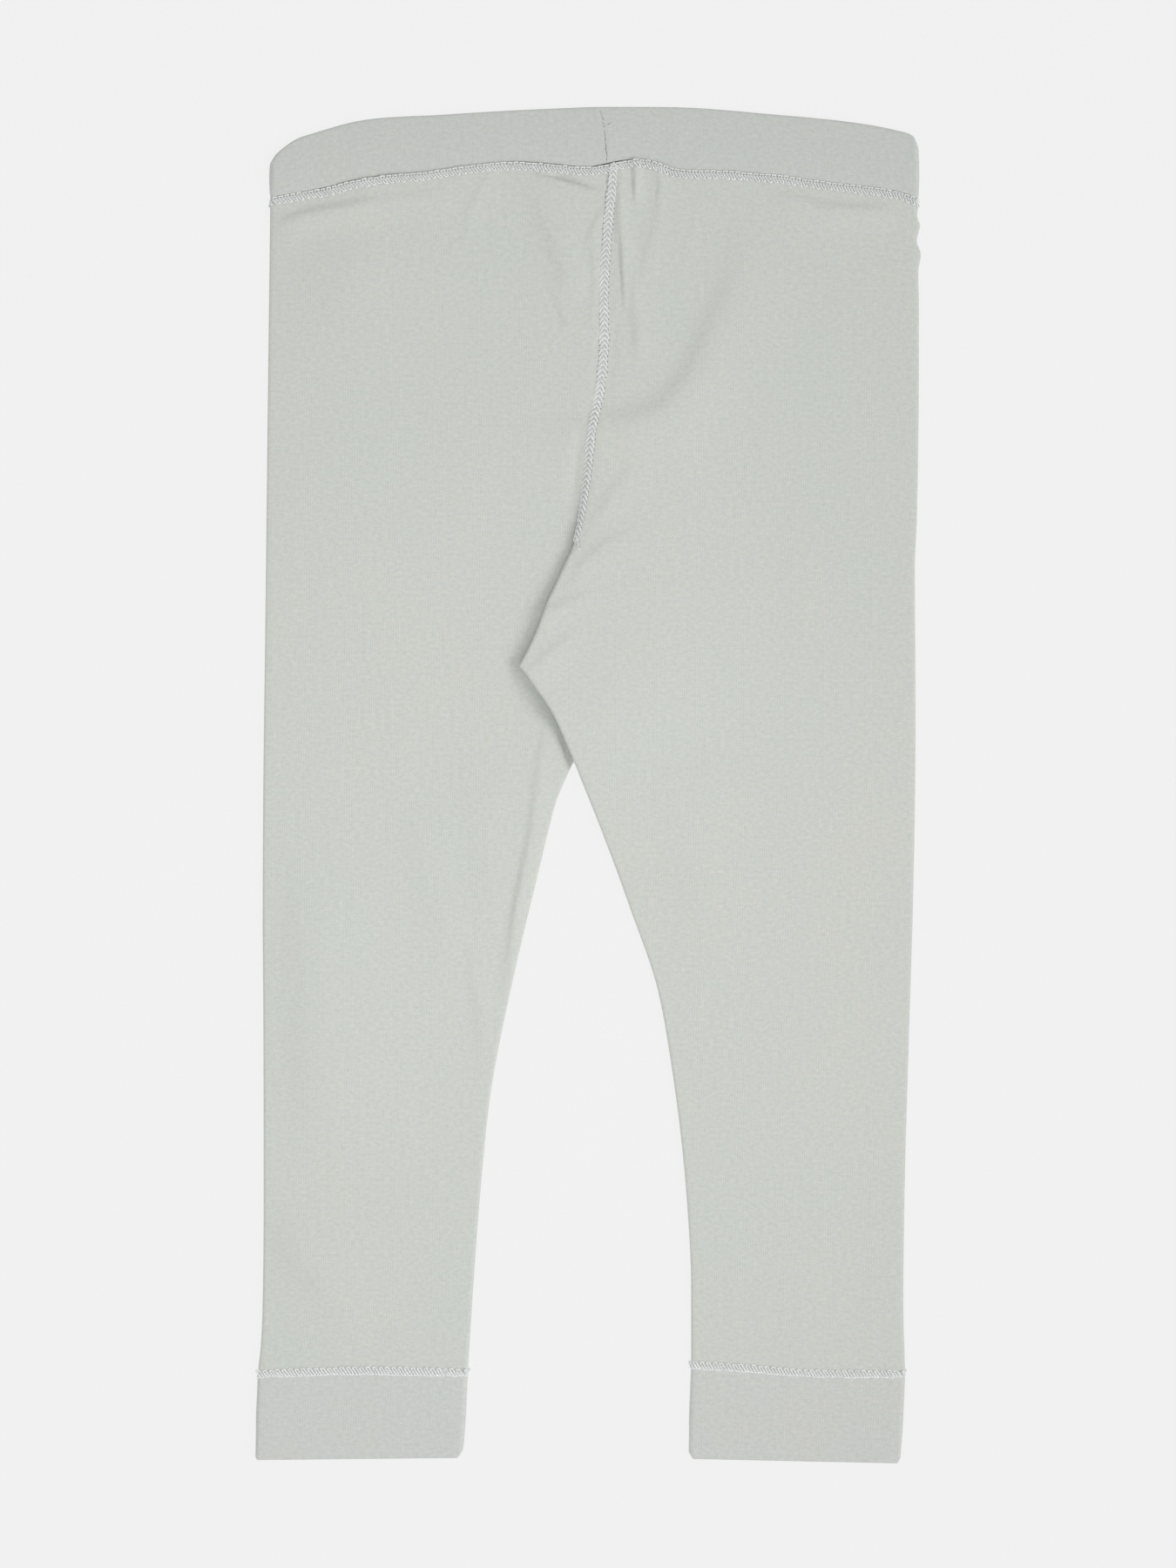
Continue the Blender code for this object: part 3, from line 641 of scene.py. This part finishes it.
def leg(name, sign):
    """One leg: a sheet of jersey from the waist seam to the cuff seam."""
    points, cloth = [], []
    for down in LEG_ROWS:
        row = leg_section(sign, down)
        points.append(placed(row[:, 0], settled(sign, row[:, 0], down, row[:, 4]), row[:, 1]))
    points = np.array(points)
    across = run_length(points)
    fold = LEG_STEPS[0] + 2 + LEG_STEPS[1] + LEG_STEPS[2] // 2
    across = (across - across[:, fold : fold + 1]) * sign
    downs = np.repeat(LEG_ROWS[:, None] * MM, points.shape[1], 1)
    mesh = grid_mesh(name, points, np.stack([across, downs], -1), sign > 0)
    mesh.materials.append(leg_jersey)
    panel = mesh_object(name, mesh)
    wall = panel.modifiers.new("cloth", "SOLIDIFY")
    wall.thickness = CLOTH * MM
    wall.offset = -1
    whole = panel.evaluated_get(bpy.context.evaluated_depsgraph_get())
    panel.data = bpy.data.meshes.new_from_object(whole)
    panel.modifiers.remove(wall)
    panel.data.set_sharp_from_angle(angle=SHARP)
    return panel


left_leg = leg("left_leg_panel", -1)
right_leg = leg("right_leg_panel", 1)
for panel, node in ((left_leg, "left_leg"), (right_leg, "right_leg")):
    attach(panel, "root")
    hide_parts(node)

# The waistband.
# A strip of the same jersey folded over a soft elastic, joined end to end beside the centre back
# and sewn to the legs. It is double, so it stands a little higher than they do.

band_jersey = jersey("sage jersey, waistband", SAGE_BAND)
BAND_WALL = 1.7
BAND_HEIGHT = 3.5
BAND_SHOULDER = 0.15
BACK_FOLD = (
    (-103, 18.0), (-102.4, 17.4), (-99.3, 14.3), (-94, 10.5), (-88, 8.4), (-73, 4.4),
    (-46.6, 2.5), (-14, 0.65), (10.9, 0.0), (33.5, 0.3), (56, 2.1), (86, 5.1), (99.5, 7.6),
    (104.3, 9.2), (106.2, 11.2), (107, 13.6),
)
FRONT_FOLD = ((-103, 18.3), (-80, 13.6), (-40, 10.4), (0, 9.5), (50, 9.6), (90, 11.2), (107, 14.0))
BAND_JOIN = ((0, 3.6), (5, 5.0), (11.5, 5.65), (17, 6.15), (31, 6.7))


def band_profile(wall, side_count):
    """Profile of a folded band, as share up to the fold, distance short of it, and depth."""
    half = wall / 2
    shares = np.linspace(0, 1, side_count + 1)[:-1]
    turn = np.linspace(0, math.pi, 9)
    share = np.concatenate([shares, np.ones(9), shares[::-1]])
    short = np.concatenate([0 * shares, half * (1 - np.sin(turn)), 0 * shares])
    depth = np.concatenate([0 * shares, half * (1 - np.cos(turn)), 0 * shares + wall])
    return np.stack([share, short, depth], 1)


def crown(share, length, shoulder):
    """How far the outer face of a double band stands above its flat, less its rounded seam edge."""
    edge = shoulder * np.exp(-((share * length / 1.0) ** 2))
    return 0.22 * np.sin(math.pi * np.clip(share, 0, 1)) - edge


def folded_strip(name, rings, material):
    """Closed strip of double cloth through rings of points, one at each place along it."""
    points = np.array(rings)
    across = np.linalg.norm(np.diff(points[:, 0], axis=0), axis=1)
    across = np.concatenate([[0], np.cumsum(across)])
    cloth = np.stack([np.repeat(across[:, None], points.shape[1], 1), run_length(points)], -1)
    mesh = grid_mesh(name, points, cloth, False, closed=True)
    shape = bmesh.new()
    shape.from_mesh(mesh)
    shape.verts.ensure_lookup_table()
    ring = points.shape[1]
    for start in (0, ring * (len(points) - 1)):
        shape.faces.new([shape.verts[start + i] for i in range(ring)])
    bmesh.ops.recalc_face_normals(shape, faces=shape.faces)
    shape.to_mesh(mesh)
    shape.free()
    mesh.shade_smooth()
    mesh.set_sharp_from_angle(angle=SHARP)
    mesh.materials.append(material)
    made = mesh_object(name, mesh)
    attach(made, "root")
    return made


def band_rings():
    """Rings of the waistband, from the centre back round the tube to the centre back.

    Faint upright ripples, as the elastic draws them into the cloth, run over the outer face, and
    near its join the band is shifted along to the join's slanting line.
    """
    sides = [leg_section(sign, WAIST_ROW, BAND_HEIGHT, (8, 90, 10, 36)) for sign in (-1, 1)]
    stations = np.concatenate([sides[0], sides[1][-2::-1]])
    share, short, depth = band_profile(BAND_WALL, 14).T
    centre = back_edge(0, WAIST_ROW)
    rings = []
    for x, z, side, up, front in stations:
        z = BAND_HEIGHT if up > 0.99 else z
        seam = waist_line(x, front) - straight(WAIST_OPEN, x) / 2
        fold = (1 - front) * smooth(BACK_FOLD, x) + front * smooth(FRONT_FOLD, x)
        down = seam + (fold - seam) * share + short
        near_join = (up > 0.99) * (1 - ease(abs(x - centre) / 16))
        x_along = x + near_join * (smooth(BAND_JOIN, down) - centre)
        ripple = np.array([0.10 * noise.noise(Vector((x / 5, d / 14, 11.0))) for d in down])
        outer = np.clip(1 - depth / BAND_WALL, 0, 1) * (up > 0)
        inwards = depth - outer * (crown(share, abs(fold - seam), BAND_SHOULDER) + ripple)
        rings.append(placed(x_along - side * inwards, down, z - up * inwards))
    return rings


waistband = folded_strip("waistband_jersey", band_rings(), band_jersey)
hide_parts("waistband")

# The cuffs.
# Each is a deep strip folded at the hem and sewn round the end of its leg, so it is double too.

cuff_jersey = jersey("sage jersey, cuff", SAGE_CUFF)
CUFF_WALL = 1.25
CUFF_HEIGHT = 2.7
CUFF_SHOULDER = 0.1
CUFF_CORNERS = {-1: (0.5, 1.8), 1: (1.0, 1.4)}
CORNER_SLOPE = 1.2
LEFT_HEM = ((-108, 435.2), (-39, 434.5))
RIGHT_HEM = ((32, 434.8), (102, 436.3))


def cuff_rings(sign, seam_table, hem_table):
    """Rings of one cuff, from the inner edge of its back round to that of its front."""
    sections = [leg_section(sign, row, CUFF_HEIGHT, (8, 48, 10, 40)) for row in (CUFF_ROW, HEM_ROW)]
    share, short, depth = band_profile(CUFF_WALL, 16).T
    edges = (side_fold(sign, HEM_ROW), back_edge(sign, HEM_ROW))
    rings = []
    for top, bottom in zip(*sections):
        corner = max(size - abs(bottom[0] - edge) for size, edge in zip(CUFF_CORNERS[sign], edges))
        seam = smooth(seam_table, top[0]) + SEAM_GAP / 2
        hem = smooth(hem_table, bottom[0]) - CORNER_SLOPE * max(0.0, corner)
        down = seam + (hem - seam) * share - short
        x, z, side, up = (((1 - share) * a + share * b) for a, b in zip(top[:4], bottom[:4]))
        if top[4] == 0 and top[3] > 0.99:
            z = np.full_like(share, CUFF_HEIGHT)
        ripple = np.array([0.10 * noise.noise(Vector((top[0] / 9, d / 9, 21.0))) for d in down])
        outer = np.clip(1 - depth / CUFF_WALL, 0, 1) * (up > 0)
        inwards = depth - outer * (crown(share, hem - seam, CUFF_SHOULDER) + ripple)
        rings.append(placed(x - side * inwards, down, z - up * inwards))
    return rings


left_rings = cuff_rings(-1, LEFT_CUFF_SEAM, LEFT_HEM)
left_cuff = folded_strip("left_cuff_jersey", left_rings, cuff_jersey)
right_rings = cuff_rings(1, RIGHT_CUFF_SEAM, RIGHT_HEM)
right_cuff = folded_strip("right_cuff_jersey", right_rings, cuff_jersey)
for made, node in ((left_cuff, "left_cuff"), (right_cuff, "right_cuff")):
    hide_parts(node)

# The seams.
# All are flatlocked with a pale, slightly shiny textured thread: a ladder at the waist and the
# cuffs, where rungs cross the joint beside a row of needle holes, and a close braid between two
# such rows down the centre back, the centre front and the inseams. The needle holes are small
# dark flat discs, which are painted shade.

THREAD = (0.92, 0.94, 0.935, 1.0)
THREAD_SHADE = (0.64, 0.66, 0.66, 1.0)
# Painted shade: the needle holes are flat discs in this dark colour, which stands for the shade in
# the holes.
HOLE_SHADE = (0.16, 0.18, 0.17, 1.0)
PRESSED = 0.32
WAIST_LADDER = 1.4
ROUND_FOLD = 0.3 * MM
BRAID_SIDE = 0.15

thread_finish, thread_tree, thread_shader = shader_material("sewing thread", THREAD, 0.42)
thread_shader.inputs["Sheen Weight"].default_value = 0.3
ply = thread_tree.nodes.new("ShaderNodeTexNoise")
ply.inputs["Scale"].default_value = 2600
thread_place = thread_tree.nodes.new("ShaderNodeTexCoord")
thread_tree.links.new(thread_place.outputs["Object"], ply.inputs["Vector"])
ply_share = spread(thread_tree, ply.outputs["Fac"], 0.38, 0.62)
thread_tree.links.new(mixed(thread_tree, ply_share, THREAD_SHADE, THREAD),
                      thread_shader.inputs["Base Color"])
bumped(thread_tree, thread_shader, ply.outputs["Fac"], 0.35, 0.1 * MM)
hole_shade_finish, _, _ = shader_material("needle hole", HOLE_SHADE, 0.95)
sunk_jersey = jersey("sage jersey, raw edges in a seam", (0.60, 0.62, 0.59, 1.0))


def stitch_tree(name, strands, holes=()):
    """Geometry Nodes tree that repeats one stitch along a line of points that face outwards.

    A strand is three points: shares of the pitch along the seam, of the width across it, and of
    the lift above it. With no strands, each stitch is flat discs at such shares, for the painted
    shade of needle holes.
    """
    tree = bpy.data.node_groups.new(name, "GeometryNodeTree")
    tree.is_modifier = True
    tree.interface.new_socket("Seam", in_out="INPUT", socket_type="NodeSocketGeometry")
    for socket, value in (("Pitch", 2.1 * MM), ("Width", 2.8 * MM), ("Lift", 0.36 * MM),
                          ("Thread Radius", 0.18 * MM), ("Unevenness", 0.12)):
        made = tree.interface.new_socket(socket, in_out="INPUT", socket_type="NodeSocketFloat")
        made.default_value = value
    tree.interface.new_socket("Finish", in_out="INPUT", socket_type="NodeSocketMaterial")
    tree.interface.new_socket("Stitches", in_out="OUTPUT", socket_type="NodeSocketGeometry")
    nodes, links = tree.nodes, tree.links
    given, put = nodes.new("NodeGroupInput"), nodes.new("NodeGroupOutput")
    line = nodes.new("GeometryNodeMeshToCurve")
    links.new(given.outputs["Seam"], line.inputs["Mesh"])
    steps = nodes.new("GeometryNodeResampleCurve")
    steps.mode = "LENGTH"
    links.new(line.outputs[0], steps.inputs["Curve"])
    links.new(given.outputs["Pitch"], steps.inputs["Length"])
    size = nodes.new("ShaderNodeCombineXYZ")
    for axis, socket in enumerate(("Pitch", "Width", "Lift")):
        links.new(given.outputs[socket], size.inputs[axis])

    def sized(shares):
        made = nodes.new("ShaderNodeVectorMath")
        made.operation = "MULTIPLY"
        links.new(size.outputs[0], made.inputs[0])
        made.inputs[1].default_value = shares
        return made.outputs[0]

    joined = nodes.new("GeometryNodeJoinGeometry")
    for strand in strands:
        arc = nodes.new("GeometryNodeCurveQuadraticBezier")
        arc.inputs["Resolution"].default_value = 4
        for socket, shares in zip(("Start", "Middle", "End"), strand):
            links.new(sized(shares), arc.inputs[socket])
        links.new(arc.outputs[0], joined.inputs[0])
    stitch = joined.outputs[0]
    if strands:
        ring = nodes.new("GeometryNodeCurvePrimitiveCircle")
        ring.mode = "RADIUS"
        ring.inputs["Resolution"].default_value = 6
        links.new(given.outputs["Thread Radius"], ring.inputs["Radius"])
        tube = nodes.new("GeometryNodeCurveToMesh")
        links.new(stitch, tube.inputs["Curve"])
        links.new(ring.outputs[0], tube.inputs["Profile Curve"])
        tube.inputs["Fill Caps"].default_value = True
        stitch = tube.outputs[0]
    else:
        for along, side in holes:
            disc = nodes.new("GeometryNodeMeshCircle")
            disc.fill_type = "NGON"
            disc.inputs["Vertices"].default_value = 7
            links.new(given.outputs["Thread Radius"], disc.inputs["Radius"])
            moved = nodes.new("GeometryNodeTransform")
            links.new(disc.outputs[0], moved.inputs["Geometry"])
            links.new(sized((along, side, 1.0)), moved.inputs["Translation"])
            links.new(moved.outputs[0], joined.inputs[0])
    facing = nodes.new("GeometryNodeInputNamedAttribute")
    facing.data_type = "FLOAT_VECTOR"
    facing.inputs["Name"].default_value = "facing"
    ahead = nodes.new("GeometryNodeInputTangent")
    turn = nodes.new("FunctionNodeAxesToRotation")
    turn.primary_axis, turn.secondary_axis = "Z", "X"
    links.new(facing.outputs["Attribute"], turn.inputs[0])
    links.new(ahead.outputs[0], turn.inputs[1])
    uneven = nodes.new("FunctionNodeRandomValue")
    uneven.data_type = "FLOAT_VECTOR"
    uneven.inputs["Seed"].default_value = 5
    for kind, socket in (("SUBTRACT", "Min"), ("ADD", "Max")):
        bound = nodes.new("ShaderNodeMath")
        bound.operation = kind
        bound.inputs[0].default_value = 1.0
        links.new(given.outputs["Unevenness"], bound.inputs[1])
        links.new(bound.outputs[0], uneven.inputs[socket])
    laid = nodes.new("GeometryNodeInstanceOnPoints")
    links.new(steps.outputs[0], laid.inputs["Points"])
    links.new(stitch, laid.inputs["Instance"])
    links.new(turn.outputs[0], laid.inputs["Rotation"])
    links.new(uneven.outputs["Value"], laid.inputs["Scale"])
    real = nodes.new("GeometryNodeRealizeInstances")
    links.new(laid.outputs[0], real.inputs[0])
    finish = nodes.new("GeometryNodeSetMaterial")
    links.new(real.outputs[0], finish.inputs["Geometry"])
    links.new(given.outputs["Finish"], finish.inputs["Material"])
    links.new(finish.outputs[0], put.inputs[0])
    return tree


waist_ladder = stitch_tree("ladder of the waist seam", (
    ((-0.36, 0.5, 0.1), (0.0, 0.5, 0.7), (0.36, 0.5, 0.1)),
    ((-0.42, 0.20, 0.2), (-0.06, -0.1, 1.1), (0.22, -0.46, 0.4)),
    ((0.08, 0.20, 0.2), (0.44, -0.1, 1.1), (0.72, -0.46, 0.4)),
    ((0.22, -0.46, 0.3), (0.50, -0.60, 0.8), (0.72, -0.46, 0.3)),
))
cuff_ladder = stitch_tree("ladder of a cuff seam", (
    ((-0.5, 0.5, -0.1), (0.0, 0.5, 0.9), (0.5, 0.5, -0.1)),
    ((-0.42, 0.46, 0.2), (-0.02, 0.0, 1.1), (0.26, -0.48, 0.3)),
    ((0.08, 0.46, 0.2), (0.48, 0.0, 1.1), (0.76, -0.48, 0.3)),
    ((0.24, -0.46, 0.3), (0.50, -0.64, 0.8), (0.78, -0.46, 0.3)),
))
braid = stitch_tree("braid of a flatlock seam", (
    ((-0.70, -0.50, 0.0), (-0.10, -0.44, 1.1), (0.42, 0.04, 0.6)),
    ((-0.70, 0.50, 0.0), (-0.10, 0.44, 1.0), (0.42, -0.04, 0.7)),
    ((-0.18, -0.48, 0.0), (0.24, -0.28, 0.6), (0.66, 0.0, 0.2)),
    ((-0.18, 0.48, 0.0), (0.24, 0.28, 0.6), (0.66, 0.0, 0.2)),
))
waist_holes = stitch_tree("needle holes of the waist seam", (), ((0.0, 0.34), (0.5, 0.34)))
edge_holes = stitch_tree("needle holes along both edges", (), ((0.0, -0.56), (0.0, 0.56)))
cuff_holes = stitch_tree("needle holes of a cuff seam", (), ((0.0, 0.56),))
pricks = stitch_tree("stitches of a plain join", (
    ((-0.42, -0.5, -0.2), (0.0, 0.0, 0.4), (0.42, 0.5, -0.2)),
))


def sewn(name, tree, points, facing, finish, **sizes):
    """Piece made by repeating a stitch along a line of points."""
    line = bpy.data.meshes.new(name)
    line.from_pydata(np.array(points).tolist(), [(i, i + 1) for i in range(len(points) - 1)], [])
    outward = line.attributes.new("facing", "FLOAT_VECTOR", "POINT")
    outward.data.foreach_set("vector", np.array(facing, np.float32).reshape(-1))
    made = mesh_object(name, line)
    stitching = made.modifiers.new("stitching", "NODES")
    stitching.node_group = tree
    sizes["Finish"] = finish
    for item in tree.interface.items_tree:
        if item.name.replace(" ", "_") in sizes:
            stitching[item.identifier] = sizes[item.name.replace(" ", "_")]
    whole = made.evaluated_get(bpy.context.evaluated_depsgraph_get())
    stitches = bpy.data.meshes.new_from_object(whole)
    made.modifiers.remove(stitching)
    made.data = stitches
    stitches.name = name
    stitches.shade_smooth()
    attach(made, "root")


def strip(name, points, facing, sides, material):
    """Strip of cloth along a line of points, between two distances across it in millimetres."""
    points, facing = np.array(points), np.array(facing)
    across = np.cross(facing, np.gradient(points, axis=0))
    across *= MM / np.linalg.norm(across, axis=1)[:, None]
    grid = np.stack([points + 0.05 * MM * facing + side * across for side in sides], 1)
    mesh = grid_mesh(name, grid, grid[:, :, :2], False)
    mesh.materials.append(material)
    made = mesh_object(name, mesh)
    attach(made, "root")


def flatlock(name, tree, holes, points, facing, bed=None, **sizes):
    """Threads, needle holes in painted shade, and sunk raw edges of one flatlock seam."""
    sewn(name + "_threads", tree, points, facing, thread_finish, **sizes)
    sizes.update(Thread_Radius=0.16 * MM, Lift=0.10 * MM, Unevenness=0.15)
    sewn(name + "_needle_holes", holes, points, facing, hole_shade_finish, **sizes)
    if bed:
        strip(name + "_raw_edges", points, facing, bed, sunk_jersey)


def tube_line(sign, down, away):
    """Line round a leg's tube at one row: points in metres and the way they face.

    On the front, which lies on the table, the line is pressed into the cloth.
    """
    row = leg_section(sign, down, None, (8, 72, 12, 40))
    high = row[:, 1] + PRESSED * np.clip(-1.5 * row[:, 3], 0, 1)
    line = placed(row[:, 0], settled(sign, row[:, 0], down, row[:, 4]) + away, high)
    facing = np.stack([row[:, 2], 0 * row[:, 2], row[:, 3]], 1)
    return line, facing


halves = [tube_line(sign, WAIST_ROW + WAIST_LADDER, 0) for sign in (-1, 1)]
line, facing = (np.concatenate([left, right[-2::-1]]) for left, right in zip(*halves))
line += facing * 0.08 * MM
line[:, 0] -= facing[:, 0] * ROUND_FOLD
flatlock("waist_seam", waist_ladder, waist_holes, line[::-1], facing[::-1], (-1.0, 1.15),
         Pitch=1.95 * MM, Width=2.2 * MM, Thread_Radius=0.235 * MM)

for name, sign, away in (("left_cuff_seam", -1, 0.2), ("right_cuff_seam", 1, -0.2)):
    line, facing = tube_line(sign, CUFF_ROW, away)
    line += facing * 0.06 * MM
    line[:, 0] -= facing[:, 0] * ROUND_FOLD
    step = slice(None, None, -sign)
    flatlock(name, cuff_ladder, cuff_holes, line[step], facing[step], (-0.8, 0.8),
             Pitch=2.07 * MM, Width=2.1 * MM, Thread_Radius=0.26 * MM)

downs = np.arange(142.0, 24.3, -1.0)
line, facing = [], []
for down in downs:
    lean = math.atan(float(smooth(BACK_RISE, down) + smooth(DIP, down)) / 1.8)
    x = back_edge(0, down) + BRAID_SIDE - 0.5 * math.sin(lean)
    high = back_height(1, np.array([back_edge(1, down) + 0.3]), down, smooth(TUBE_HEIGHT, down))
    where = settled(1, np.array([x]), down, np.array([0.0]))
    line.append(placed(x, where[0], high[0] + 0.06 - 0.5 * math.sin(lean)))
    facing.append((-math.sin(lean), 0.0, math.cos(lean)))
flatlock("back_seam", braid, edge_holes, line, facing, (-1.2, 1.2), Pitch=1.68 * MM,
         Width=2.65 * MM, Thread_Radius=0.20 * MM)

for name, sign, first, last in (("front_seam", 0, 28, 157), ("left_inseam", -1, 163, 406),
                                ("right_inseam", 1, 177, 406)):
    downs = np.arange(first, last, 1.5)
    line = []
    for down in downs:
        radius = float(smooth(TUBE_HEIGHT, down)) / 2
        x = front_end(sign or -1, down, radius) - (sign or -1) * SEAM_GAP / 2
        low = float(front_height(sign, np.array([x]), down)[0]) if sign > 0 else 0.0
        where = settled(sign or 1, np.array([x]), down, np.array([1.0]))
        line.append(placed(x, where[0], low + 0.12))
    facing = [(0.0, 0.0, -1.0)] * len(line)
    flatlock(name, braid, edge_holes, line, facing, Pitch=1.9 * MM, Width=2.8 * MM, Lift=0.25 * MM)

# Where the two legs part below the crotch, two narrow edges of the turned-in layers show beside
# the right leg's edge.
for name, beside, above in (("inner_layer", 0.75, 0.3), ("middle_layer", 0.3, 0.8)):
    downs = np.linspace(203.5, 211.0, 8)
    x = np.array([back_edge(1, down) + 0.4 for down in downs])
    x -= (beside + 0.4) * ease((downs - 203.5) / 6)
    z = [float(back_height(-1, np.array([a]), d, 2.0)[0]) + above for a, d in zip(x, downs)]
    strip(name, placed(x, downs, np.array(z)), [(0.0, 0.0, 1.0)] * len(x), (-0.16, 0.16), leg_jersey)

# The join of the waistband shows as a fine row of pricks, drawn in the dark colour of the needle
# holes as painted shade, with one thread end left standing near its top and a loop where the
# centre back seam meets the waist seam.
downs = np.linspace(1.5, 17.0, 40)
x = smooth(BAND_JOIN, downs) + 0.12 * np.sin(downs * 2.1)
seam_at = float(waist_line(np.array([8.8]), np.array([0.0]))[0])
share = np.clip((seam_at - downs) / seam_at, 0, 1)
line = placed(x, downs, BAND_HEIGHT + crown(share, seam_at, BAND_SHOULDER))
facing = [(0.0, 0.0, 1.0)] * len(line)
sewn("band_join_stitches", pricks, line, facing, hole_shade_finish, Pitch=0.65 * MM, Width=0.2 * MM,
     Lift=0.1 * MM, Thread_Radius=0.08 * MM, Unevenness=0.5)

end_curve = bpy.data.curves.new("thread_end", "CURVE")
end_curve.dimensions = "3D"
end_curve.bevel_depth = 0.16 * MM
end_curve.bevel_resolution = 1
end_curve.use_fill_caps = True
for knots in (
    ((5.0, 5.7, 3.8), (6.6, 6.3, 4.2), (8.0, 5.4, 4.1)),
    ((7.5, 20.6, 3.4), (7.6, 19.4, 4.0), (8.5, 18.8, 4.2), (9.4, 19.4, 4.0), (9.5, 20.6, 3.4)),
):
    end_spline = end_curve.splines.new("BEZIER")
    end_spline.bezier_points.add(len(knots) - 1)
    for knot, (x, down, z) in zip(end_spline.bezier_points, knots):
        knot.co = placed(x, down, z).tolist()
        knot.handle_left_type = knot.handle_right_type = "AUTO"
end_holder = bpy.data.objects.new("thread_end_curve", end_curve)
bpy.context.scene.collection.objects.link(end_holder)
end_mesh = bpy.data.meshes.new_from_object(end_holder.evaluated_get(
    bpy.context.evaluated_depsgraph_get()))
bpy.data.objects.remove(end_holder)
end_mesh.materials.clear()
end_mesh.materials.append(thread_finish)
thread_end = mesh_object("thread_end", end_mesh)
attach(thread_end, "root")
